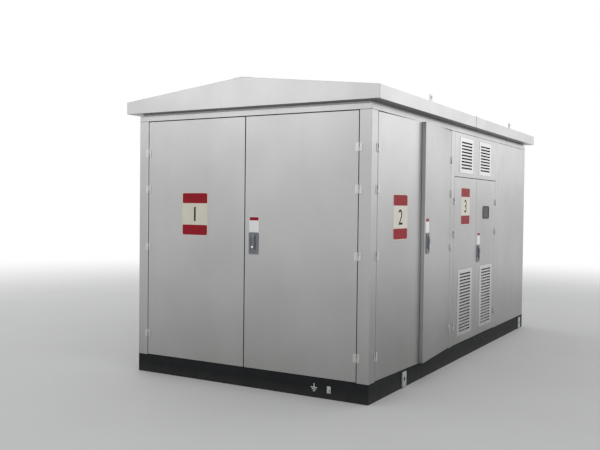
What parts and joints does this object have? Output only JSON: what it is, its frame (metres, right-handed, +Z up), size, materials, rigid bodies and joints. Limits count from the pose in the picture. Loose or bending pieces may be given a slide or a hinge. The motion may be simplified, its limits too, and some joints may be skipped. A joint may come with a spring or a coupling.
{
  "type": "prefabricated transformer substation housing",
  "caption": "Stainless steel cabin on a black channel base with hinged double doors, louvred bay and low gabled roof, housing a power transformer and its switchgear.",
  "frame": {"origin": "middle of the footprint, on the ground", "axes": "+X along the cabin away from the end with the double door in use, +Y from the front long side to the back, +Z up"},
  "size_m": [4.88, 2.55, 2.631],
  "materials": {
    "brushed_stainless": "hairline stainless sheet, satin",
    "black_base_paint": "satin black paint, scuffed",
    "floor_steel": "dark grey paint",
    "galvanised_sheet": "galvanised",
    "grey_handle": "satin grey",
    "dark_window": "dark glossy pane",
    "zinc_plated": "zinc plated"
  },
  "bodies": {
    "housing": {"back_bay_door_left": "brushed_stainless", "back_bay_door_right": "brushed_stainless", "back_far_panel": "brushed_stainless", "back_post_far": "brushed_stainless", "back_post_near": "brushed_stainless", "back_switch_door_left": "brushed_stainless", "back_switch_door_right": "brushed_stainless", "back_upper_panel_left": "brushed_stainless", "back_upper_panel_right": "brushed_stainless", "base_channel_back": "black_base_paint", "base_channel_far": "black_base_paint", "base_channel_front": "black_base_paint", "base_channel_near": "black_base_paint", "ceiling_panel": "galvanised_sheet", "corner_post_far_back": "brushed_stainless", "corner_post_far_front": "brushed_stainless", "corner_post_near_back": "brushed_stainless", "corner_post_near_front": "brushed_stainless", "earth_terminal": "zinc_plated", "far_end_door_left": "brushed_stainless", "far_end_door_right": "brushed_stainless", "far_panel": "brushed_stainless", "floor_plate": "floor_steel", "front_post_far": "brushed_stainless", "front_post_near": "brushed_stainless", "gable_far": "brushed_stainless", "gable_near": "brushed_stainless", "header_back": "brushed_stainless", "header_far": "brushed_stainless", "header_front": "brushed_stainless", "header_near": "brushed_stainless", "roof_slope_back": "brushed_stainless", "roof_slope_front": "brushed_stainless", "transom_back": "brushed_stainless", "transom_front": "brushed_stainless", "upper_louvre_left": "brushed_stainless", "upper_louvre_right": "brushed_stainless", "upper_panel_left": "brushed_stainless", "upper_panel_right": "brushed_stainless"},
    "end_door_left": {"end_door_left": "brushed_stainless"},
    "end_door_right": {"end_door_right": "brushed_stainless", "end_door_handle": "grey_handle"},
    "switch_door_left": {"switch_door_left": "brushed_stainless"},
    "switch_door_right": {"switch_door_right": "brushed_stainless", "switch_door_handle": "grey_handle"},
    "bay_door_left": {"bay_door_left": "brushed_stainless", "lower_louvre_left": "brushed_stainless"},
    "bay_door_right": {"bay_door_right": "brushed_stainless", "lower_louvre_right": "brushed_stainless", "viewing_window": "dark_window", "bay_door_handle": "grey_handle"}
  },
  "joints": [
    {"name": "end_door_left_hinge", "type": "hinge", "parent": "housing", "child": "end_door_left", "pos_m": [-2.371, 1.072, 0], "axis": [0, 0, -1], "range_deg": [0, 110]},
    {"name": "end_door_right_hinge", "type": "hinge", "parent": "housing", "child": "end_door_right", "pos_m": [-2.371, -1.072, 0], "axis": [0, 0, 1], "range_deg": [0, 110]},
    {"name": "switch_door_left_hinge", "type": "hinge", "parent": "housing", "child": "switch_door_left", "pos_m": [-2.244, -1.186, 0], "axis": [0, 0, -1], "range_deg": [-2, 88]},
    {"name": "switch_door_right_hinge", "type": "hinge", "parent": "housing", "child": "switch_door_right", "pos_m": [-0.508, -1.186, 0], "axis": [0, 0, 1], "range_deg": [-4.3, 85.7]},
    {"name": "bay_door_left_hinge", "type": "hinge", "parent": "housing", "child": "bay_door_left", "pos_m": [-0.402, -1.186, 0], "axis": [0, 0, -1], "range_deg": [0, 90]},
    {"name": "bay_door_right_hinge", "type": "hinge", "parent": "housing", "child": "bay_door_right", "pos_m": [1.036, -1.186, 0], "axis": [0, 0, 1], "range_deg": [0, 90]}
  ]
}
